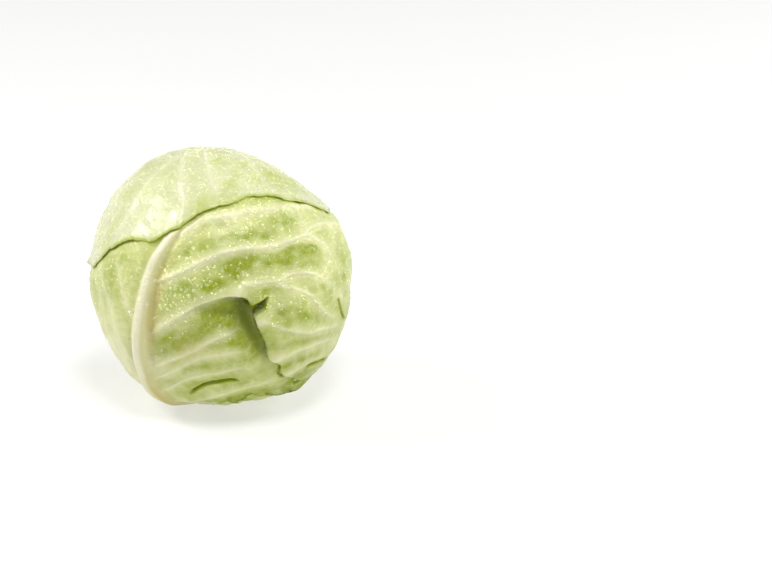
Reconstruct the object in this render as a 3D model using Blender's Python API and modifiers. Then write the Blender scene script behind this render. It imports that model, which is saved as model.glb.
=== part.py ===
"""A white cabbage head, standing on the cut face of its stem.

Origin at the middle of the cut face, +Z up through the head, and the broad front leaf towards -Y.
A place on the head is given by its bearing, turning from the front (-Y) towards +X, and its height
above the middle of the head, both in degrees and seen from that middle.
"""

import math

import bmesh
import bpy
import numpy as np
from mathutils import Vector

# The whole head, in metres.
HEAD_RADIUS = 0.085
MIDDLE_HEIGHT = 0.0825

# Leaves: how thick they are, and how far one leaf lies beneath the next.
WRAPPER_THICKNESS = 0.0014
WRAPPER_STEP = 0.0028
INNER_THICKNESS = 0.0016
INNER_STEP = 0.0050

# Facets and margins, in degrees seen from the middle of the head.
WRAPPER_PITCH = 9.0
INNER_PITCH = 15.0
WRAPPER_LIP = 4.0  # how far outside a leaf's margin the leaf below stays pressed down
INNER_LIP = 9.0
WRAPPER_FADE = 11.0  # over which the leaf below then rises again
INNER_FADE = 18.0
RELIEF_FADE = 4.0  # over which ribs and folds come up again

# Midribs.
RIB_RISE_AT_BASE = 0.0042
RIB_RISE_AT_TIP = 0.0014
RIB_HALF_WIDTH = 0.0058

# Stem.
STEM_FACE_RADIUS = 0.0170
STEM_NECK_RADIUS = 0.0150
CORE_TOP_RADIUS = 0.0075
CORE_TOP_HEIGHT = 0.0520
STEM_CHAMFER = 0.0010

# Heart bud.
HEART_RADIUS = 0.0390
HEART_BASE_GAP = 0.0020


def towards(bearing, height):
    """Unit direction from the middle of the head."""
    b, h = math.radians(bearing), math.radians(height)
    return np.array([math.cos(h) * math.sin(b), -math.cos(h) * math.cos(b), math.sin(h)])


def degrees_between(ways, axis):
    return np.degrees(np.arccos(np.clip(ways @ axis, -1.0, 1.0)))


def smooth(x):
    x = np.clip(x, 0.0, 1.0)
    return x * x * (3.0 - 2.0 * x)


def spline(points, closed, steps=12):
    """Directions along a smooth path through a few (bearing, height) points."""
    ways = np.array([towards(*p) for p in points])
    if closed:
        ways = np.vstack([ways[-1:], ways, ways[:2]])
    else:
        ways = np.vstack([2 * ways[0] - ways[1], ways, 2 * ways[-1] - ways[-2]])
    t = np.arange(steps)[:, None] / steps
    found = []
    for a, b, c, d in zip(ways, ways[1:], ways[2:], ways[3:]):
        found.append(0.5 * (2 * b + (c - a) * t + (2 * a - 5 * b + 4 * c - d) * t**2
                            + (3 * b - a - 3 * c + d) * t**3))
    if not closed:
        found.append(ways[-2:-1])
    found = np.vstack(found)
    return found / np.linalg.norm(found, axis=1)[:, None]


def head_radius(ways):
    """Radius of the outside of the head, before the leaves are told apart."""
    radius = np.full(len(ways), HEAD_RADIUS)
    # Full shoulders, a flattened top right, a pressed-in foot, and the dent beside the front leaf's fold.
    for bearing, height, rise, spread in (
        (-115, 46, 0.0032, 26), (-62, -50, 0.0038, 20), (66, -44, 0.0036, 20), (150, -40, 0.0015, 25),
        (118, 52, -0.0068, 30), (-20, 88, -0.0012, 25), (0, -90, -0.0052, 22), (-7, -4, -0.0026, 13),
        (30, -10, 0.0012, 15), (-160, 5, 0.0012, 25),
    ):
        away = degrees_between(ways, towards(bearing, height))
        radius += rise * np.exp(-((away / spread) ** 2))
    return radius


def beside(ways, path):
    """Distance in metres from a path of directions, and how far along it (0 to 1) the nearest place is."""
    nearest = np.full(len(ways), 1e9)
    along = np.zeros(len(ways))
    for i, (a, b) in enumerate(zip(path, path[1:])):
        t = np.clip((ways - a) @ (b - a) / ((b - a) @ (b - a)), 0.0, 1.0)
        gap = np.linalg.norm(ways - a - t[:, None] * (b - a), axis=1) * HEAD_RADIUS
        closer = gap < nearest
        nearest[closer] = gap[closer]
        along[closer] = ((i + t) / (len(path) - 1))[closer]
    return nearest, along


class Blade:
    """The stretch of the head that one leaf covers, as its reach from a middle direction."""

    def __init__(self, middle, margin, inner=False):
        self.middle = towards(*middle)
        self.right = np.cross([0.0, 0.0, 1.0], self.middle)
        self.right /= np.linalg.norm(self.right)
        self.up = np.cross(self.middle, self.right)
        self.step = INNER_STEP if inner else WRAPPER_STEP
        self.pitch = INNER_PITCH if inner else WRAPPER_PITCH
        self.lip = INNER_LIP if inner else WRAPPER_LIP
        self.fade = INNER_FADE if inner else WRAPPER_FADE
        heading, away = self.polar(spline(margin, closed=True))
        order = np.argsort(heading)
        self.headings, self.reaches = heading[order], away[order]

    def polar(self, ways):
        heading = np.arctan2(ways @ self.up, ways @ self.right)
        return heading, degrees_between(ways, self.middle)

    def reach(self, heading):
        return np.interp(heading, self.headings, self.reaches, period=2 * math.pi)

    def cover(self, ways, fade):
        """1 under this leaf, falling to 0 a little way outside its margin."""
        heading, away = self.polar(ways)
        return smooth(1.0 + (self.reach(heading) + self.lip - away) / fade)

    def grid(self):
        """Directions of a square grid of points stretched over the blade, row by row."""
        cells = int(round(2 * float(np.mean(self.reaches)) / self.pitch))
        a, b = np.meshgrid(np.linspace(-1, 1, cells + 1), np.linspace(-1, 1, cells + 1))
        a, b = a.ravel(), b.ravel()
        u = np.maximum(np.abs(a), np.abs(b))
        safe_a, safe_b = np.where(a == 0, 1, a), np.where(b == 0, 1, b)
        across = math.pi / 4 * b / safe_a + np.where(a < 0, math.pi, 0.0)
        along = math.pi / 2 - math.pi / 4 * a / safe_b + np.where(b < 0, math.pi, 0.0)
        heading = np.where(np.abs(a) >= np.abs(b), across, along)
        away = np.radians(u * self.reach(heading))
        ways = np.cos(away)[:, None] * self.middle
        ways += np.sin(away)[:, None] * (np.cos(heading)[:, None] * self.right
                                         + np.sin(heading)[:, None] * self.up)
        return cells, ways


wrapped = []  # the blades made so far, outermost first


def surface(ways, relief):
    """Points of a leaf's outer face: the head's outside, less the leaves that lie over it and press it flat."""
    radius = head_radius(ways)
    rise = relief(ways)
    for blade in wrapped:
        radius = radius - blade.step * blade.cover(ways, blade.fade)
        rise = rise * (1.0 - blade.cover(ways, RELIEF_FADE))
    radius = radius + rise
    return ways * radius[:, None] + np.array([0.0, 0.0, MIDDLE_HEIGHT])


def leaf(name, blade, thickness, colour, relief, rib=None, finer=0):
    """One leaf as a thin closed sheet, finer along its rib."""
    cells, ways = blade.grid()
    form = bmesh.new()
    bmesh.ops.create_grid(form, x_segments=cells, y_segments=cells, size=1.0)
    form.verts.ensure_lookup_table()
    for vert, way in zip(form.verts, ways):
        vert.co = Vector(way)
    for level in range(finer):
        near, _ = beside(np.array([v.co[:] for v in form.verts]), rib)
        band = 0.012 / (level + 1)
        edges = [e for e in form.edges if near[e.verts[0].index] < band and near[e.verts[1].index] < band]
        bmesh.ops.subdivide_edges(form, edges=edges, cuts=1, use_grid_fill=True)
        form.verts.index_update()
        bmesh.ops.triangulate(form, faces=[f for f in form.faces if len(f.verts) > 4])
        form.verts.ensure_lookup_table()
    ways = np.array([v.co[:] for v in form.verts])
    ways /= np.linalg.norm(ways, axis=1)[:, None]
    for vert, point in zip(form.verts, surface(ways, relief)):
        vert.co = Vector(point)
    bmesh.ops.triangulate(form, faces=form.faces[:], quad_method="SHORT_EDGE")
    bmesh.ops.recalc_face_normals(form, faces=form.faces[:])
    first = form.faces[0]
    if first.normal.dot(first.calc_center_median() - Vector((0, 0, MIDDLE_HEIGHT))) < 0:
        bmesh.ops.reverse_faces(form, faces=form.faces[:])
    node = add_node(name, form, colour, roughness=0.5)
    sheet = node.modifiers.new("thickness", "SOLIDIFY")
    sheet.thickness = thickness
    sheet.offset = -1.0
    sheet.use_rim = True
    wrapped.append(blade)
    return node


def add_node(name, form, colour, roughness):
    mesh = bpy.data.meshes.new(name)
    form.to_mesh(mesh)
    form.free()
    node = bpy.data.objects.new(name, mesh)
    parts.objects.link(node)
    paint = bpy.data.materials.new(name)
    paint.use_nodes = True
    shader = paint.node_tree.nodes["Principled BSDF"]
    shader.inputs["Base Color"].default_value = (*colour, 1.0)
    shader.inputs["Roughness"].default_value = roughness
    shader.inputs["Metallic"].default_value = 0.0
    paint.diffuse_color = (*colour, 1.0)
    mesh.materials.append(paint)
    return node


def rib_relief(path):
    """A rounded rib along the path: high at the leaf's base, low at its tip, and flush where it meets the stem."""
    def relief(ways):
        gap, along = beside(ways, path)
        rise = RIB_RISE_AT_BASE + (RIB_RISE_AT_TIP - RIB_RISE_AT_BASE) * smooth(along)
        rise *= smooth(along / 0.06)
        return rise * np.exp(-((gap / RIB_HALF_WIDTH) ** 2))
    return relief


def cap_leaf():
    """Wraps up the back and over the top; its margin runs across the front from a point at the left."""
    margin = [(-92, 5), (-77, 9), (-61, 22), (-50, 29), (-38, 31), (-24, 39), (-10, 48), (8, 52), (28, 55),
              (50, 49), (68, 43), (83, 34), (102, 29), (120, 16), (133, -2), (145, -28), (152, -54),
              (152, -72), (180, -76), (-155, -74), (-148, -58), (-138, -36), (-122, -18), (-104, -2)]
    rib = spline([(180, -75), (180, -45), (-178, -10), (178, 30), (172, 62), (-20, 88), (-14, 62)], closed=False)
    leaf("cap_leaf", Blade((180, 38), margin), WRAPPER_THICKNESS, (0.66, 0.74, 0.36),
         rib_relief(rib), rib, finer=1)


def front_leaf():
    """The broad leaf at the front, with a strong midrib and a fold to the right of it."""
    margin = [(-52, -76), (-24, -75), (-6, -64), (14, -58), (36, -54), (56, -48), (68, -38), (76, -26),
              (83, -12), (90, 5), (96, 22), (92, 40), (70, 55), (40, 64), (0, 68), (-35, 66), (-70, 55),
              (-98, 38), (-112, 15), (-115, -10), (-108, -35), (-94, -56), (-82, -72)]
    rib = spline([(-49, -75), (-47, -58), (-42, -33), (-38, -18), (-36, -3), (-34, 14), (-30, 26), (-22, 38),
                  (-12, 52)], closed=False)
    ridge = rib_relief(rib)
    fold = spline([(4, 10), (10, 3), (13, -7), (18, -15), (20, -22), (27, -27), (36, -35), (50, -43)], closed=False)
    flap = spline([(11, 10), (18, 2), (22, -8), (27, -16), (32, -23), (42, -32)], closed=False)

    def relief(ways):
        gap, _ = beside(ways, flap)
        behind, _ = beside(ways, fold)
        side = smooth(0.5 + (behind - gap) / 0.006)
        return ridge(ways) + 0.0030 * side * np.exp(-((gap / 0.011) ** 2))

    leaf("front_leaf", Blade((-8, -4), margin), WRAPPER_THICKNESS, (0.50, 0.60, 0.20),
         relief, rib, finer=2)


def torn_leaf_base():
    """What is left of an outer leaf after trimming: a short ragged skirt low at the front right."""
    margin = [(-22, -75), (10, -77), (45, -76), (76, -70), (88, -58), (74, -46), (60, -43), (50, -47),
              (38, -46), (26, -52), (12, -50), (0, -56), (-14, -57), (-28, -66)]
    leaf("torn_leaf_base", Blade((35, -63), margin), WRAPPER_THICKNESS, (0.56, 0.62, 0.28),
         lambda ways: np.zeros(len(ways)))


def right_leaf():
    margin = [(103, -76), (132, -74), (150, -60), (165, -38), (172, -12), (168, 15), (155, 38), (125, 50),
              (95, 52), (65, 45), (48, 25), (40, 0), (42, -25), (52, -50), (72, -72)]
    rib = spline([(104, -75), (106, -50), (109, -25), (112, 0), (113, 25), (110, 44)], closed=False)
    leaf("right_leaf", Blade((108, -6), margin), WRAPPER_THICKNESS, (0.58, 0.67, 0.28),
         rib_relief(rib), rib)


def left_leaf():
    margin = [(-135, -76), (-104, -74), (-88, -58), (-74, -35), (-68, -10), (-72, 15), (-88, 38), (-120, 50),
              (-150, 50), (-178, 40), (168, 20), (162, -8), (168, -34), (-178, -56), (-164, -73)]
    rib = spline([(-133, -75), (-130, -50), (-127, -25), (-124, 0), (-125, 25), (-130, 44)], closed=False)
    leaf("left_leaf", Blade((-130, -8), margin), WRAPPER_THICKNESS, (0.60, 0.69, 0.30),
         rib_relief(rib), rib)


def inner_leaf(number):
    """A leaf inside the head. Each grows a part of a turn round the core from the one before it."""
    bearing = 20.0 + 137.5 * (number - 1)
    foot = 70.0 - 1.5 * number  # degrees below the middle at which the leaf leaves the core
    margin = [(bearing, -foot), (bearing + 45, -0.72 * foot), (bearing + 78, -25), (bearing + 88, 12),
              (bearing + 80, 45), (bearing + 70, 74), (bearing + 180, 78), (bearing - 70, 74),
              (bearing - 80, 45), (bearing - 88, 12), (bearing - 78, -25), (bearing - 45, -0.72 * foot)]
    pale = 0.05 * number
    leaf(f"inner_leaf_{number}", Blade((bearing, 14), margin, inner=True), INNER_THICKNESS,
         (0.68 + pale / 2, 0.74 + pale / 3, 0.42 + pale / 2), lambda ways: np.zeros(len(ways)))


def heart_bud():
    """The tight bud at the middle: an egg with its foot cut flat above the core."""
    form = bmesh.new()
    bmesh.ops.create_uvsphere(form, u_segments=20, v_segments=11, radius=HEART_RADIUS)
    floor = CORE_TOP_HEIGHT + HEART_BASE_GAP - MIDDLE_HEIGHT
    for vert in form.verts:
        vert.co.z *= 1.08 if vert.co.z > 0 else 1.0
    cut = bmesh.ops.bisect_plane(form, geom=form.verts[:] + form.edges[:] + form.faces[:],
                                 plane_co=(0, 0, floor), plane_no=(0, 0, -1), clear_outer=True)
    bmesh.ops.holes_fill(form, edges=[e for e in cut["geom_cut"] if isinstance(e, bmesh.types.BMEdge)])
    bmesh.ops.recalc_face_normals(form, faces=form.faces[:])
    bmesh.ops.translate(form, verts=form.verts[:], vec=(0, 0, MIDDLE_HEIGHT))
    add_node("heart_bud", form, (0.86, 0.86, 0.66), roughness=0.5)


def stem():
    """The cut butt, a waist where the leaves leave it, and the core tapering up inside."""
    form = bmesh.new()
    profile = [(0.0, 0.0), (STEM_FACE_RADIUS - STEM_CHAMFER, 0.0), (STEM_FACE_RADIUS, STEM_CHAMFER),
               (STEM_NECK_RADIUS, 0.0100), (0.0125, 0.0260), (CORE_TOP_RADIUS, CORE_TOP_HEIGHT - 0.003),
               (CORE_TOP_RADIUS - 0.003, CORE_TOP_HEIGHT), (0.0, CORE_TOP_HEIGHT)]
    verts = [form.verts.new((r, 0.0, z)) for r, z in profile]
    edges = [form.edges.new(pair) for pair in zip(verts, verts[1:])]
    bmesh.ops.spin(form, geom=verts + edges, cent=(0, 0, 0), axis=(0, 0, 1), angle=2 * math.pi, steps=28,
                   use_merge=True)
    bmesh.ops.remove_doubles(form, verts=form.verts[:], dist=1e-5)
    bmesh.ops.recalc_face_normals(form, faces=form.faces[:])
    add_node("stem", form, (0.72, 0.74, 0.50), roughness=0.6)


for old in list(bpy.data.objects):
    bpy.data.objects.remove(old, do_unlink=True)
parts = bpy.data.collections.new("cabbage_head")
bpy.context.scene.collection.children.link(parts)

stem()
cap_leaf()
front_leaf()
torn_leaf_base()
right_leaf()
left_leaf()
for number in range(1, 9):
    inner_leaf(number)
heart_bud()
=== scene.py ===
import math

import bmesh
import bpy
import numpy as np
from mathutils import Matrix, Vector
from mathutils.kdtree import KDTree


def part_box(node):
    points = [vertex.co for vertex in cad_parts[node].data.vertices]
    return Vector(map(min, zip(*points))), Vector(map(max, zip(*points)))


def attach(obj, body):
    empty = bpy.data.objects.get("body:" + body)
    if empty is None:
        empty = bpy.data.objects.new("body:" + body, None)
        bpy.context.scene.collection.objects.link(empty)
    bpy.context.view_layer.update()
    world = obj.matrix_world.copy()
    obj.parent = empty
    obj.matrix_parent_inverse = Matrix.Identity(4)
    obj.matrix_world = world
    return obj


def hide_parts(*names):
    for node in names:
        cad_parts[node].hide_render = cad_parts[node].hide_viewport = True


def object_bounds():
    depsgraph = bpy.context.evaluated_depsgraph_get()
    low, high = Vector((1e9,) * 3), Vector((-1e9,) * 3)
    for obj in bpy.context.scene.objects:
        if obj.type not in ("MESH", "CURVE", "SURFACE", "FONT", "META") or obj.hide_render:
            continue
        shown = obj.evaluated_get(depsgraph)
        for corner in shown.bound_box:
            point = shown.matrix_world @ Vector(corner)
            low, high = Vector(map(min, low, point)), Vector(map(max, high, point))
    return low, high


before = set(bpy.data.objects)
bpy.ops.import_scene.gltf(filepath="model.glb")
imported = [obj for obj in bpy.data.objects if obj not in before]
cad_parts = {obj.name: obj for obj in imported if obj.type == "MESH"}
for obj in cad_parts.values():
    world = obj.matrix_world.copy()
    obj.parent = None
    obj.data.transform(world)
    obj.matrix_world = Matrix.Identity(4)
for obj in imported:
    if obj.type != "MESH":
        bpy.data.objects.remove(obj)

cad_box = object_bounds()

# ---------------------------------------------------------------------------------------------------
# Cap leaf. The outermost leaf of the head: it leaves the stem at the back, wraps over the top and ends
# across the front in a thin margin that stands a little proud. A tender blade under a millimetre thick,
# with a cream midrib that fades out over the crown.
# ---------------------------------------------------------------------------------------------------

# A place on the head is given by its bearing, turning from the front (-Y) towards +X, and its height
# above the middle of the head, both in degrees.
across = cad_box[1].x - cad_box[0].x
head = 0.5 * across                                     # radius of the head
heart_of_head = Vector((0.0, 0.0, 0.5 * (cad_box[1].z - cad_box[0].z) - 0.001))


def towards(bearing, height):
    b, h = math.radians(bearing), math.radians(height)
    return np.array([math.cos(h) * math.sin(b), -math.cos(h) * math.cos(b), math.sin(h)])


def degrees_from(ways, axis):
    return np.degrees(np.arccos(np.clip(ways @ axis, -1.0, 1.0)))


def ease(x):
    x = np.clip(x, 0.0, 1.0)
    return x * x * (3.0 - 2.0 * x)


def flowing(points, closed=False, steps=9):
    """A smooth path over the head through a few (bearing, height) places."""
    ways = np.array([towards(*p) for p in points])
    if closed:
        ways = np.vstack([ways[-1:], ways, ways[:2]])
    else:
        ways = np.vstack([2 * ways[0] - ways[1], ways, 2 * ways[-1] - ways[-2]])
    t = np.arange(steps)[:, None] / steps
    path = [0.5 * (2 * b + (c - a) * t + (2 * a - 5 * b + 4 * c - d) * t**2
                   + (3 * b - a - 3 * c + d) * t**3)
            for a, b, c, d in zip(ways, ways[1:], ways[2:], ways[3:])]
    if not closed:
        path.append(ways[-2:-1])
    path = np.vstack(path)
    return path / np.linalg.norm(path, axis=1)[:, None]


def beside(ways, path, within=0.02):
    """How far each place is from a path (metres; 1 if further than within), how far along it (0 to 1) the
    nearest point lies, +1 or -1 for the right or left hand going along it, and that nearest point."""
    gap, along, hand = np.ones(len(ways)), np.zeros(len(ways)), np.ones(len(ways))
    foot = ways.copy()
    stations = path[::4] if len(path) > 8 else path
    stations = np.vstack([stations, path[-1:]])
    reach = within / head + max(0.02, float(np.linalg.norm(np.diff(stations, axis=0), axis=1).max()))
    near = np.flatnonzero((ways @ stations.T).max(axis=1) > math.cos(min(reach, 3.0)))
    some = ways[near]
    best = np.full(len(some), 1e9)
    for i, (a, b) in enumerate(zip(path, path[1:])):
        run = b - a
        t = np.clip((some - a) @ run / (run @ run), 0.0, 1.0)
        spot = a + t[:, None] * run
        away = np.linalg.norm(some - spot, axis=1)
        closer = away < best
        best[closer] = away[closer]
        which = near[closer]
        gap[which] = away[closer] * head
        along[which] = (i + t[closer]) / (len(path) - 1)
        hand[which] = np.where((some[closer] - a) @ np.cross(run, a) >= 0.0, 1.0, -1.0)
        foot[which] = spot[closer]
    gap[gap > within] = 1.0
    return gap, along, hand, foot


def swell(ways, size, seed):
    """A smooth random swelling over the head, about -1 to 1, with waves about `size` metres long."""
    chance = np.random.default_rng(seed)
    total = np.zeros(len(ways))
    for _ in range(14):
        wave = chance.normal(size=3)
        wave *= 2 * math.pi * head / size * chance.uniform(0.75, 1.3) / np.linalg.norm(wave)
        total += np.sin(ways @ wave + chance.uniform(0, 2 * math.pi))
    return total / math.sqrt(14.0)


def head_radius(ways):
    """The outside of the head: full shoulders, a flatter top right, a drawn-in foot, a dent by the fold."""
    radius = np.full(len(ways), head)
    for bearing, height, rise, spread in (
        (-115, 46, 0.0032, 26), (-62, -50, 0.0038, 20), (66, -44, 0.0036, 20), (150, -40, 0.0015, 25),
        (118, 52, -0.0068, 30), (-20, 88, -0.0012, 25), (0, -90, -0.0052, 22), (-7, -4, -0.0026, 13),
        (30, -10, 0.0012, 15), (-160, 5, 0.0012, 25),
    ):
        radius += rise * np.exp(-((degrees_from(ways, towards(bearing, height)) / spread) ** 2))
    radius += 0.0006 * swell(ways, 0.060, 3) + 0.00025 * swell(ways, 0.028, 4)
    return radius


class Blade:
    """The stretch of the head that one leaf covers, as its reach from a middle direction."""

    def __init__(self, middle, margin, step=0.0013, lip=0.8, fade=7.0, ragged=0.35, seed=1):
        self.middle = towards(*middle)
        self.right = np.cross([0.0, 0.0, 1.0], self.middle)
        self.right /= np.linalg.norm(self.right)
        self.up = np.cross(self.middle, self.right)
        self.step, self.lip, self.fade = step, lip, fade
        heading, reach = self.polar(flowing(margin, closed=True))
        order = np.argsort(heading)
        heading, reach = heading[order], reach[order]
        # A little raggedness of the margin, in waves of about 20 mm down to 3 mm.
        chance = np.random.default_rng(seed)
        self.headings = np.linspace(-math.pi, math.pi, 1441)
        self.reaches = np.interp(self.headings, heading, reach, period=2 * math.pi)
        for waves in (23, 31, 52, 71, 118, 163):
            size = ragged * (23 / waves) ** 0.8
            height = size * chance.uniform(0.5, 1.0)
            self.reaches += height * np.sin(waves * self.headings + chance.uniform(0, 6.3))
        soft = np.hanning(51)
        self.smoothed = np.convolve(np.pad(self.reaches[:-1], 25, mode="wrap"), soft / soft.sum(), "valid")
        self.smoothed = np.append(self.smoothed, self.smoothed[0])

    def polar(self, ways):
        return np.arctan2(ways @ self.up, ways @ self.right), degrees_from(ways, self.middle)

    def reach(self, heading):
        return np.interp(heading, self.headings, self.reaches, period=2 * math.pi)

    def inside(self, ways):
        """Metres inside the margin (negative outside it)."""
        heading, away = self.polar(ways)
        return np.radians(self.reach(heading) - away) * head

    def cover(self, ways, lip=None, fade=None):
        """1 under this leaf, falling to 0 a little way outside its margin."""
        heading, away = self.polar(ways)
        lip = self.lip if lip is None else lip
        fade = self.fade if fade is None else fade
        return ease(1.0 + (self.reach(heading) + lip - away) / fade)

    def at(self, a, b):
        """Directions for places a, b (-1 to 1) of a square stretched over the blade."""
        u = np.maximum(np.abs(a), np.abs(b))
        safe_a, safe_b = np.where(a == 0, 1, a), np.where(b == 0, 1, b)
        level = math.pi / 4 * b / safe_a + np.where(a < 0, math.pi, 0.0)
        steep = math.pi / 2 - math.pi / 4 * a / safe_b + np.where(b < 0, math.pi, 0.0)
        heading = np.where(np.abs(a) >= np.abs(b), level, steep)
        smoothed = np.interp(heading, self.headings, self.smoothed, period=2 * math.pi)
        away = (0.70 * u + 0.30 * u**3) * smoothed
        away = np.radians(away + (self.reach(heading) - smoothed) * ease((u - 0.86) / 0.14))
        flat = np.cos(heading)[:, None] * self.right + np.sin(heading)[:, None] * self.up
        return np.cos(away)[:, None] * self.middle + np.sin(away)[:, None] * flat


laid = []  # the blades laid so far, outermost first: each leaf lies beneath these
hollow_line = flowing([(-7, 4), (1, 4), (6.5, 2), (8.5, -4), (12, -11), (16, -16)])
hollow_depth = 0.0074                                   # at its deepest, halfway down


def hollow(ways, wide):
    """The dent pressed into the front of the head beside the pleat, as a depth in metres."""
    gap, along, _, _ = beside(ways, hollow_line, 2.6 * wide)
    deep = np.interp(along, (0, 0.25, 0.5, 0.8, 1), (0.0034, 0.0066, hollow_depth, 0.0056, 0.0030))
    return deep * np.exp(-((gap / wide) ** 2))


def resting(ways, over):
    """Radius at which a leaf lies under the blades over it, and how free of them each place is."""
    radius, free = head_radius(ways), np.ones(len(ways))
    if len(over) > 1:
        radius = radius - 2.1 * hollow(ways, 0.013)
    for blade in over:
        radius = radius - blade.step * blade.cover(ways)
        free = free * (1.0 - blade.cover(ways, 0.3, 2.5))
    return radius, free


def veined(ways, veins):
    """Height of the veins, how pale each place is from them, and how far it lies out in a panel between
    them. A vein is its path, its half widths and heights at root and tip in mm, and how far the blade drops
    on its right hand, in mm. It has a narrow crest on a broad soft foot."""
    rise, drop, pale = np.zeros((3, len(ways)))
    nearest = np.ones(len(ways))
    for path, (root_width, tip_width), (root_height, tip_height), fall in veins:
        main = root_height > 0.4
        gap, along, hand, _ = beside(ways, path, 0.018 if main else 0.0045)
        width = 0.001 * (root_width + (tip_width - root_width) * along)
        height = 0.001 * (root_height + (tip_height - root_height) * along)
        ends = ease(along / 0.05) * ease((1 - along) / 0.25)
        broad = np.exp(-((gap / (1.45 * width)) ** 2))
        crest = np.exp(-((gap / (0.50 * width)) ** 2))
        rise = np.maximum(rise, height * ends * (0.62 * broad + 0.38 * crest))
        if fall:
            away = gap / 0.0042
            drop += 0.001 * fall * ends * np.where(hand > 0, away * np.exp(1 - away), 0.0)
        strength = 1.15 * height / (height + 0.0007)
        pale = np.maximum(pale, strength * ends * (0.60 * broad + 0.40 * crest))
        if main:
            nearest = np.minimum(nearest, gap)
    return rise - drop, pale, 1.0 - np.exp(-((nearest / 0.0050) ** 2))


def quilted(ways, size, seed):
    """The blade puffs up between its veinlets: 0 on the veinlets, 1 in the middle of each mesh of them."""
    chance = np.random.default_rng(seed)
    count = int(4 * math.pi * (head / size) ** 2)
    k = np.arange(count) + 0.5
    lift, turn = 1 - 2 * k / count, k * math.pi * (3 - math.sqrt(5))
    out = np.sqrt(1 - lift**2)
    seeds = np.column_stack([out * np.cos(turn), out * np.sin(turn), lift])
    seeds += chance.normal(size=seeds.shape) * 0.26 * size / head
    tree = KDTree(count)
    for i, spot in enumerate(seeds):
        tree.insert(spot, i)
    tree.balance()
    wavy = ways + np.column_stack([swell(ways, 0.012, seed + i) for i in (1, 2, 3)]) * 0.0012 / head
    apart = np.array([(pair[1][2] - pair[0][2]) for pair in (tree.find_n(way, 2) for way in wavy)])
    return np.clip(1.5 * apart * head / size, 0.0, 1.0)


def branchlets(veins, every, reach, seed):
    """The small veins that leave the larger ones on both hands, slanting forwards. Sizes are in mm."""
    chance = np.random.default_rng(seed)
    small = []
    for path, _, _, _ in veins:
        steps = np.linalg.norm(np.diff(path, axis=0), axis=1) * head * 1000
        travelled = np.concatenate([[0.0], np.cumsum(steps)])
        spot = every * 0.7
        while spot < travelled[-1] * 0.96:
            for hand in (-1, 1):
                k = min(np.searchsorted(travelled, spot + chance.uniform(0, 0.5 * every)), len(path) - 1)
                here, ahead = path[k], path[k] - path[k - 1]
                ahead = ahead / np.linalg.norm(ahead)
                aside = hand * np.cross(ahead, here)
                slant, bend = math.radians(chance.uniform(42, 66)), math.radians(chance.uniform(-14, 22))
                length = reach * chance.uniform(0.6, 1.2) / 1000 / head
                spots = [here]
                for part in (0.34, 0.67, 1.0):
                    turn = slant - bend * part
                    spots.append(here + part * length * (math.cos(turn) * ahead + math.sin(turn) * aside))
                line = np.array(spots)
                line /= np.linalg.norm(line, axis=1)[:, None]
                small.append((line, (1.1, 0.6), (0.30, 0.10), 0.0))
            spot += every
    return small


def stained(ways, strokes):
    """How deep the green is, from soft strokes, some of them painted shade: a path, a half width in mm and a
    strength.
    """
    green_and_shade = np.zeros(len(ways))
    for points, width, strength in strokes:
        points = [points[0], (points[0][0] + 0.5, points[0][1] + 0.3)] if len(points) == 1 else points
        gap, _, _, _ = beside(ways, flowing(points), 0.03)
        green_and_shade = np.maximum(green_and_shade, strength * np.exp(-((gap / (0.001 * width)) ** 2)))
    return green_and_shade


def stood(name, mesh):
    """Stands a mesh in the scene as a smooth piece."""
    mesh.shade_smooth()
    piece = bpy.data.objects.new(name, mesh)
    bpy.context.collection.objects.link(piece)
    return piece


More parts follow.
